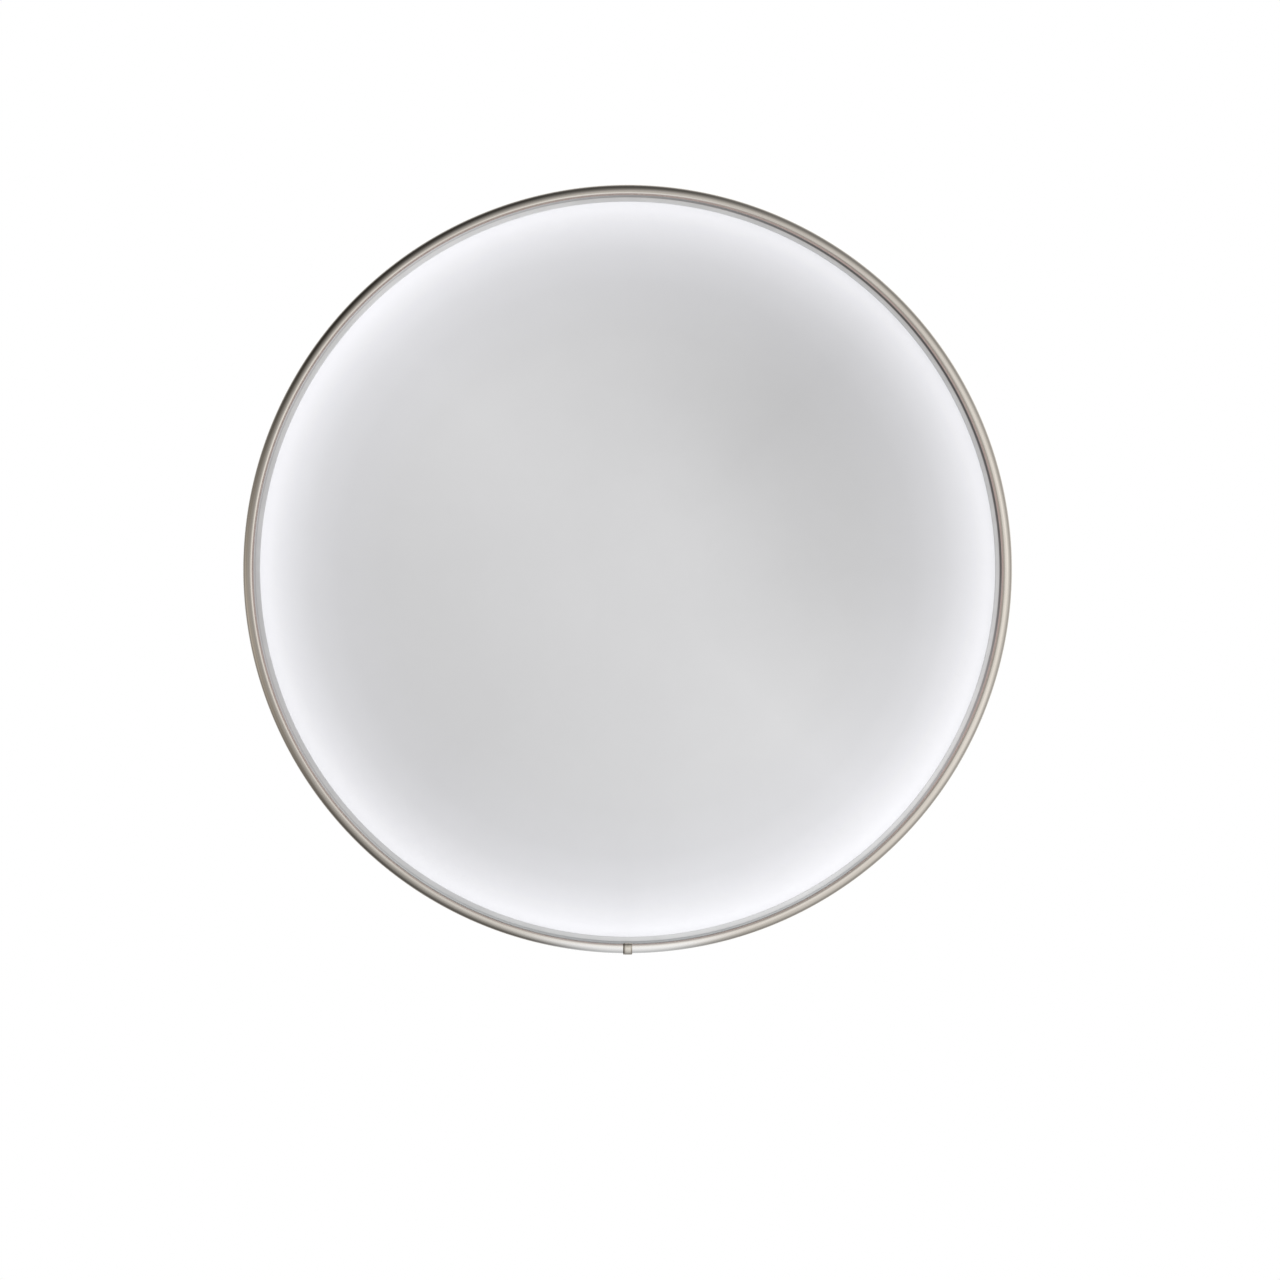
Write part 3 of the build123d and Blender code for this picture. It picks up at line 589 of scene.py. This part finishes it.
nickel = nickel_look()
powder = powder_look()
NODE_LOOKS = {
    "face_panel": face_look(),
    "hanger_plate": spangle_look(),
    "can_rivets": metal_look("blind_rivets", (0.80, 0.80, 0.81), 0.34, (1, 1, 1), 700, 0.88),
    "hanger_rivets": metal_look("rivet_aluminium", (0.78, 0.78, 0.79), 0.32, (1, 0.2, 1), 900),
    "hoop_splice": metal_look("strip_steel", (0.58, 0.58, 0.57), 0.3, (0.05, 1, 1), 700),
    "led_flex_strip": strip_look(),
    "led_packages": led_look(),
    "strip_resistors": plastic_look("chip_ceramic", (0.055, 0.055, 0.06), 0.35, 2600, 0.2),
    "strip_solder_pads": metal_look("bright_solder", (0.76, 0.76, 0.75), 0.2, scale=1200, blotch=300),
    "dc_jack_body": plastic_look("jack_black", (0.045, 0.045, 0.05), 0.36, 1300, 0.3),
    "dc_jack_pin": metal_look("pin_nickel", (0.80, 0.77, 0.68), 0.16, (1, 1, 0.1), 1500, 0.9),
    "dc_jack_terminals": metal_look("tinned_tails", (0.76, 0.74, 0.68), 0.28, scale=1500, blotch=400),
    "dc_jack_nut": metal_look("nut_nickel", (0.72, 0.68, 0.58), 0.24, (1, 1, 0.2), 900, blotch=220),
    "dc_jack_washer": metal_look("washer_zinc", (0.66, 0.67, 0.69), 0.3, scale=800, blotch=260),
    "switch_housing": plastic_look("switch_black", (0.05, 0.05, 0.055), 0.42, 1100, 0.4),
    "switch_rocker": plastic_look("rocker_black", (0.035, 0.035, 0.04), 0.22, 1600, 0.12, 0.7,
                                  {"Coat Weight": 0.3, "Coat Roughness": 0.12}),
    "switch_plunger": plastic_look("plunger_nylon", (0.78, 0.77, 0.72), 0.4, 1800, 0.15, 0.9),
    "switch_spring": metal_look("spring_wire", (0.60, 0.60, 0.60), 0.22, scale=2500, blotch=900),
    "switch_contact_arm": metal_look("contact_copper", (0.85, 0.52, 0.36), 0.26, (1, 0.2, 1), 1200,
                                     blotch=320),
    "switch_terminals": metal_look("terminal_brass", (0.83, 0.66, 0.36), 0.28, (1, 1, 0.2), 1200,
                                   blotch=320),
    "wire_jack_to_switch": wire_look("pvc_red", (0.55, 0.035, 0.03)),
    "wire_switch_to_strip": wire_look("pvc_white", (0.78, 0.78, 0.75)),
    "wire_jack_to_strip": wire_look("pvc_black", (0.035, 0.035, 0.04)),
    "wire_saddle": plastic_look("saddle_nylon", (0.80, 0.79, 0.74), 0.4, 1500, 0.2, 0.92),
    "shrink_tubes": plastic_look("shrink_tube", (0.03, 0.03, 0.032), 0.45, 900, 0.3),
}
for node_name, node_look in NODE_LOOKS.items():
    cad_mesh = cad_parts[node_name].data
    cad_mesh.materials.clear()
    cad_mesh.materials.append(node_look)


# ---- Hoop and sleeve ------------------------------------------------------------------------------
def skin_path(offset, wrap, lip_r):
    """Line that follows the hoop's outer skin at an offset, from an angle of the bead to the return lip."""
    inner = arc((CREST_R, HOOP_FRONT - BEAD_INNER_R), BEAD_INNER_R + offset, wrap, 90, 18)
    outer = arc((CREST_R, HOOP_FRONT - BEAD_OUTER_R), BEAD_OUTER_R + offset, 90, 0, 24)
    back = arc((HOOP_R - HOOP_CORNER, HOOP_BACK + HOOP_CORNER), HOOP_CORNER + offset, 0, -90, 8)
    return [*inner, *outer[1:], *back, (lip_r, HOOP_BACK - offset)]


def make_hoop():
    """Rolled hoop with its bead and lips, open at six o'clock."""
    gap = math.degrees(HOOP_GAP / HOOP_R)
    outside = skin_path(0, 180, HOOP_LIP_R)
    inside = skin_path(-HOOP_SHEET, 180, HOOP_LIP_R)
    lip = [(inside[0][0], GASKET_SEAT), (outside[0][0], GASKET_SEAT)]
    hoop = lathe("hoop", outside + inside[::-1] + lip, start=90 + gap / 2, sweep=360 - gap)
    hoop.data.materials.append(nickel)
    return stands_for(hoop, "sign", "hoop_nickel", "clamp_hoop")


def make_sleeve():
    """Sleeve with a crowned back and edges rolled down to the hoop."""
    steps, crown, roll = 24, 0.06 * MM, 0.22 * MM
    half = math.degrees(SLEEVE_WIDTH / HOOP_R) / 2
    rings = []
    for i in range(steps + 1):
        across = 2 * i / steps - 1
        edge = max(0.0, (abs(across) - 0.78) / 0.22)
        fall = crown * across ** 2 + roll * (1 - math.sqrt(max(0.0, 1 - edge ** 2)))
        outside = SLEEVE_CLEAR + SLEEVE_SHEET - fall
        outline = (skin_path(outside, SLEEVE_WRAP, SLEEVE_LIP_R)
                   + skin_path(SLEEVE_CLEAR, SLEEVE_WRAP, SLEEVE_LIP_R)[::-1])
        rings.append(turned_ring(outline, 90 + across * half))
    sleeve = join_rings("joint_sleeve", rings, False, True, 40)
    sleeve.data.materials.append(sleeve_look())
    return stands_for(sleeve, "sleeve", "hoop_nickel", "hoop_sleeve")


# ---- Glass and gasket -----------------------------------------------------------------------------
def dome(edge_r, edge_depth, crown_depth, steps):
    """Points of a spherical cap in section, from its crown to its edge."""
    rise = crown_depth - edge_depth
    ball = (edge_r ** 2 + rise ** 2) / (2 * rise)
    limit = math.degrees(math.asin(edge_r / ball))
    return arc((0, crown_depth - ball), ball, 90, 90 - limit, steps)


def make_glass():
    """Convex glass with a narrow flat brim and rounded edges."""
    inner_edge = DOME_R - 0.4 * MM
    edge = 0.6 * MM
    glass_front = GLASS_BACK + GLASS_SHEET
    outside = dome(DOME_R, glass_front, CROWN, 64)
    inside = dome(inner_edge, GLASS_BACK, CROWN - GLASS_SHEET, 64)
    rim = arc((GLASS_R - edge, glass_front - edge), edge, 90, 0, 5)
    rim += arc((GLASS_R - edge, GLASS_BACK + edge), edge, 0, -90, 5)
    glass = lathe("convex_glass", outside + rim + inside[::-1], closed=False, sharp=60)
    glass.data.materials.append(glass_look())
    glass.visible_shadow = False
    return stands_for(glass, "sign", "lens_glass", "glass_lens")


def make_gasket():
    """Channel gasket: its front lip has a rounded inner edge and steps back under the hoop's lip."""
    clear = 0.05 * MM
    lip_back = GASKET_FRONT - GASKET_LIP + clear
    lip = (GASKET_FRONT - lip_back) / 2
    nose = arc((GASKET_INNER_R + lip, GASKET_FRONT - lip), lip, 90, 270, 12)
    outer = reach("lens_gasket")
    rear_front = GLASS_BACK - clear
    step_in, step_out = GASKET_STEP
    outline = [(GASKET_REAR_R, GASKET_BACK), (outer, GASKET_BACK), (outer, GASKET_SEAT),
               (step_out, GASKET_SEAT), (step_in, GASKET_FRONT), *nose, (GASKET_SLOT_R, lip_back),
               (GASKET_SLOT_R, rear_front), (GASKET_REAR_R, rear_front)]
    gasket = lathe("glass_gasket", outline)
    gasket.data.materials.append(gasket_look())
    return stands_for(gasket, "sign", "gasket_silicone", "lens_gasket")


# ---- Can ------------------------------------------------------------------------------------------
def circle(radius, steps=32):
    """Points of a circle round the origin."""
    return arc((0, 0), radius, 0, 360 - 360 / steps, steps - 1)


def rectangle(width, height):
    """Corners of an upright rectangle, as (x, z) points."""
    return [(sx * width / 2, sz * height / 2) for sx, sz in ((1, -1), (1, 1), (-1, 1), (-1, -1))]


def capsule(width, height, steps=10):
    """Outline of an upright slot with round ends, as (x, z) points."""
    radius, straight = width / 2, (height - width) / 2
    top = [(x, z + straight) for x, z in arc((0, 0), radius, 0, 180, steps)]
    bottom = [(x, z - straight) for x, z in arc((0, 0), radius, 180, 360, steps)]
    return top + bottom


def prism(outline, low_y, high_y, x=0.0, z=0.0):
    """Cutter from an (x, z) outline between two y planes."""
    bm = bmesh.new()
    rows = [[bm.verts.new((x + px, y, z + pz)) for px, pz in outline] for y in (low_y, high_y)]
    count = len(outline)
    for i in range(count):
        after = (i + 1) % count
        bm.faces.new([rows[0][i], rows[0][after], rows[1][after], rows[1][i]])
    bm.faces.new(rows[0])
    bm.faces.new(rows[1][::-1])
    bmesh.ops.recalc_face_normals(bm, faces=bm.faces)
    return bm


def band_cutter(outline, centre, outward):
    """Cutter through the can's band, from an outline in (round the band, depth)."""
    side = outward.cross(Vector((0, 1, 0)))
    bm = prism(outline, -3 * CAN_SHEET, 3 * CAN_SHEET)
    turn = Matrix((side, outward, Vector((0, 1, 0)))).transposed().to_4x4()
    bmesh.ops.transform(bm, matrix=Matrix.Translation(centre) @ turn, verts=bm.verts)
    return bm


def on_band(clock, depth):
    """Point of the can's band at a clock angle and depth, and its outward direction."""
    turn = math.radians(clock)
    outward = Vector((math.sin(turn), 0, math.cos(turn)))
    return outward * CAN_R - Vector((0, depth, 0)), outward


def applied(piece, kind, **settings):
    """Gives a piece the mesh that one modifier makes of it."""
    step = piece.modifiers.new(kind, kind)
    for name, value in settings.items():
        setattr(step, name, value)
    graph = bpy.context.evaluated_depsgraph_get()
    result = bpy.data.meshes.new_from_object(piece.evaluated_get(graph))
    piece.modifiers.clear()
    old = piece.data
    piece.data = result
    bpy.data.meshes.remove(old)


def cut(piece, cutters):
    """Takes closed cutter meshes out of a piece. Flat faces stay flatly shaded up to their edges."""
    joined = bmesh.new()
    for cutter in cutters:
        scrap = bpy.data.meshes.new("scrap")
        cutter.to_mesh(scrap)
        cutter.free()
        joined.from_mesh(scrap)
        bpy.data.meshes.remove(scrap)
    tool = finished_mesh("cutter", joined)
    applied(piece, "BOOLEAN", operation="DIFFERENCE", solver="EXACT", object=tool)
    piece.data.set_sharp_from_angle(angle=math.radians(35))
    applied(piece, "WEIGHTED_NORMAL", keep_sharp=True, weight=90)
    bpy.data.objects.remove(tool)


def rivet_cutters():
    """Cutters for the holes of the rivets that join band and back."""
    pitch = 360 / CAN_RIVETS
    spots = [on_band((i + 0.5) * pitch, CAN_RIVET_DEPTH) for i in range(CAN_RIVETS)]
    return [band_cutter(circle(CAN_RIVET_R), *spot) for spot in spots]


def make_can_band():
    """Rolled band with its flange, two ports and the rivet holes."""
    inner_r = CAN_R - CAN_SHEET
    flange_back = FLANGE_FRONT - CAN_SHEET
    outline = rounded([
        (CAN_R, BAND_BACK, 0.25 * MM), (CAN_R, flange_back, 0.5 * MM), (FLANGE_R, flange_back, 0.3 * MM),
        (FLANGE_R, FLANGE_FRONT, 0.3 * MM), (inner_r, FLANGE_FRONT, 1.5 * MM),
        (inner_r, BAND_BACK, 0.25 * MM)])
    band = lathe("can_side_band", outline, sharp=35)
    ports = [band_cutter(circle(JACK_HOLE_R), *on_band(JACK_TURN, PORT_DEPTH)),
             band_cutter(rectangle(*SWITCH_HOLE), *on_band(SWITCH_TURN, PORT_DEPTH))]
    cut(band, ports + rivet_cutters())
    band.data.materials.append(powder)
    return stands_for(band, "sign", "can_paint", "can_band")


def make_can_back():
    """Pressed pan with its ring, rim, air slots and hanger window."""
    inner_r = BACK_RIM_R - CAN_SHEET
    slope, lap = 1.5 * MM, 0.35 * MM
    front = CAN_SHEET + RING_PRESS
    outline = rounded([
        (BACK_RIM_R, 0, BACK_CORNER), (BACK_RIM_R, BACK_RIM_FRONT, 0.25 * MM),
        (inner_r, BACK_RIM_FRONT, 0.25 * MM), (inner_r, CAN_SHEET, BACK_CORNER - CAN_SHEET),
        (RING_OUT + lap, CAN_SHEET, MM), (RING_OUT + lap - slope, front, MM),
        (RING_IN - lap + slope, front, MM), (RING_IN - lap, CAN_SHEET, MM), (0, CAN_SHEET, 0), (0, 0, 0),
        (RING_IN, 0, MM), (RING_IN + slope, RING_PRESS, MM), (RING_OUT - slope, RING_PRESS, MM),
        (RING_OUT, 0, MM)])
    start = outline.index((0, 0))
    pan = lathe("can_back_pan", outline[start:] + outline[:start], closed=False, sharp=35)
    width, height, window_z = WINDOW
    through = 4 * CAN_SHEET
    frame_corners = [(x, z, 3 * MM) for x, z in rectangle(width, height)]
    cutters = [prism(rounded(frame_corners), -through, through, z=window_z)]
    for z in VENT_ROWS:
        for i in range(VENT_COUNT):
            x = (i - (VENT_COUNT - 1) / 2) * VENT_PITCH
            cutters.append(prism(capsule(*VENT), -through, through, x, z))
    cut(pan, cutters + rivet_cutters())
    pan.data.materials.append(powder)
    return stands_for(pan, "sign", "can_paint", "can_back")


hoop = make_hoop()
sleeve = make_sleeve()
glass = make_glass()
gasket = make_gasket()
can_band = make_can_band()
can_back = make_can_back()


# ---- Studio ---------------------------------------------------------------------------------------
CAMERA_DISTANCE = 6.0
VIEW_WIDTH = 634.17 * MM          # width seen in the plane of the hoop's bead
OFF_CENTRE = (-6.13 * MM, 35.06 * MM)             # the sign's middle from the view's middle, right and up


def make_camera():
    """Camera on the sign's axis, its view shifted so that the sign sits a little left and high."""
    data = bpy.data.cameras.new("camera")
    data.sensor_width = 36.0
    hoop_distance = CAMERA_DISTANCE - (HOOP_FRONT - BEAD_OUTER_R)
    data.lens = data.sensor_width * hoop_distance / VIEW_WIDTH
    data.shift_x = -OFF_CENTRE[0] / VIEW_WIDTH
    data.shift_y = -OFF_CENTRE[1] / VIEW_WIDTH
    data.clip_end = 50
    camera = bpy.data.objects.new("camera", data)
    camera.location = (0, -CAMERA_DISTANCE, 0)
    camera.rotation_euler = (math.radians(90), 0, 0)
    bpy.context.scene.collection.objects.link(camera)
    bpy.context.scene.camera = camera


WHITE = (1.0, 1.0, 1.0)
WARM = (1.0, 0.94, 0.86)
# Soft lights round the sign: (clock angle, tilt away from the view, sharpness, light, tint)
SOFT_LIGHTS = ((118, 44, 2.9, 0.83, WHITE), (78, 35, 11.0, 0.36, WHITE), (262, 91, 25.0, 0.56, WARM),
               (265, 51, 26.0, 0.31, WARM), (0, 180, 7.0, 1.2, WHITE), (60, 140, 6.0, 0.35, WHITE))
ROOM_LIGHT = (0.012, 0.010, 0.0075)
LOW_LIGHT = (0.36, 0.385, 0.42)   # strip light under the sign, seen along the hoop at six o'clock
LOW_LIGHT_SIDES = (0.26, 0.04)    # where it fades in, sideways
LOW_LIGHT_HEIGHTS = (-0.05, -0.40)                # and downwards


def make_light():
    """White sky to the camera. To the object, a dark room with soft lights and one strip light below."""
    world = bpy.data.worlds.new("studio")
    bpy.context.scene.world = world
    world.use_nodes = True
    sky = Tree(world.node_tree)

    def add_light(amount, colour, total):
        return sky.add("ShaderNodeVectorMath", {0: amount, 1: colour, 2: total},
                       operation="MULTIPLY_ADD").outputs[0]

    total = ROOM_LIGHT
    for clock, tilt, sharpness, light, tint in SOFT_LIGHTS:
        turn, lean = math.radians(clock), math.radians(tilt)
        aim = (math.sin(lean) * math.sin(turn), -math.cos(lean), math.sin(lean) * math.cos(turn))
        facing = sky.add("ShaderNodeVectorMath", {0: sky.direction, 1: aim}, operation="DOT_PRODUCT")
        near = sky.sum("MULTIPLY_ADD", facing.outputs["Value"], 0.5, 0.5)
        total = add_light(sky.sum("POWER", near, sharpness), tuple(light * part for part in tint), total)
    x, _, z = sky.split(sky.direction)
    low = sky.sum("MULTIPLY", sky.span(sky.sum("ABSOLUTE", x), *LOW_LIGHT_SIDES),
                  sky.span(z, *LOW_LIGHT_HEIGHTS))
    total = add_light(low, LOW_LIGHT, total)
    seen = sky.add("ShaderNodeLightPath").outputs["Is Camera Ray"]
    background = world.node_tree.nodes["Background"]
    sky.feed(background.inputs["Color"], sky.mix(seen, total, full_colour(1.0)))


def make_floor():
    """Pale round floor, two metres under the sign as it hangs on its wall."""
    radius, top = 1.3, -2.0
    bm = bmesh.new()
    rim = [bm.verts.new((x, y, top)) for x, y in circle(radius, 96)]
    bm.faces.new(rim)
    floor = finished_mesh("floor", bm)
    look = Look("pale_floor", {"Roughness": 0.7, "Emission Strength": 0.6})
    paint = look.mottle((0.86, 0.86, 0.855), 0.985, 5)
    look.set("Base Color", paint)
    look.set("Emission Color", paint)
    floor.data.materials.append(look.material)
    floor.visible_glossy = False


make_camera()
make_light()
make_floor()
bpy.context.scene.view_settings.view_transform = "Standard"
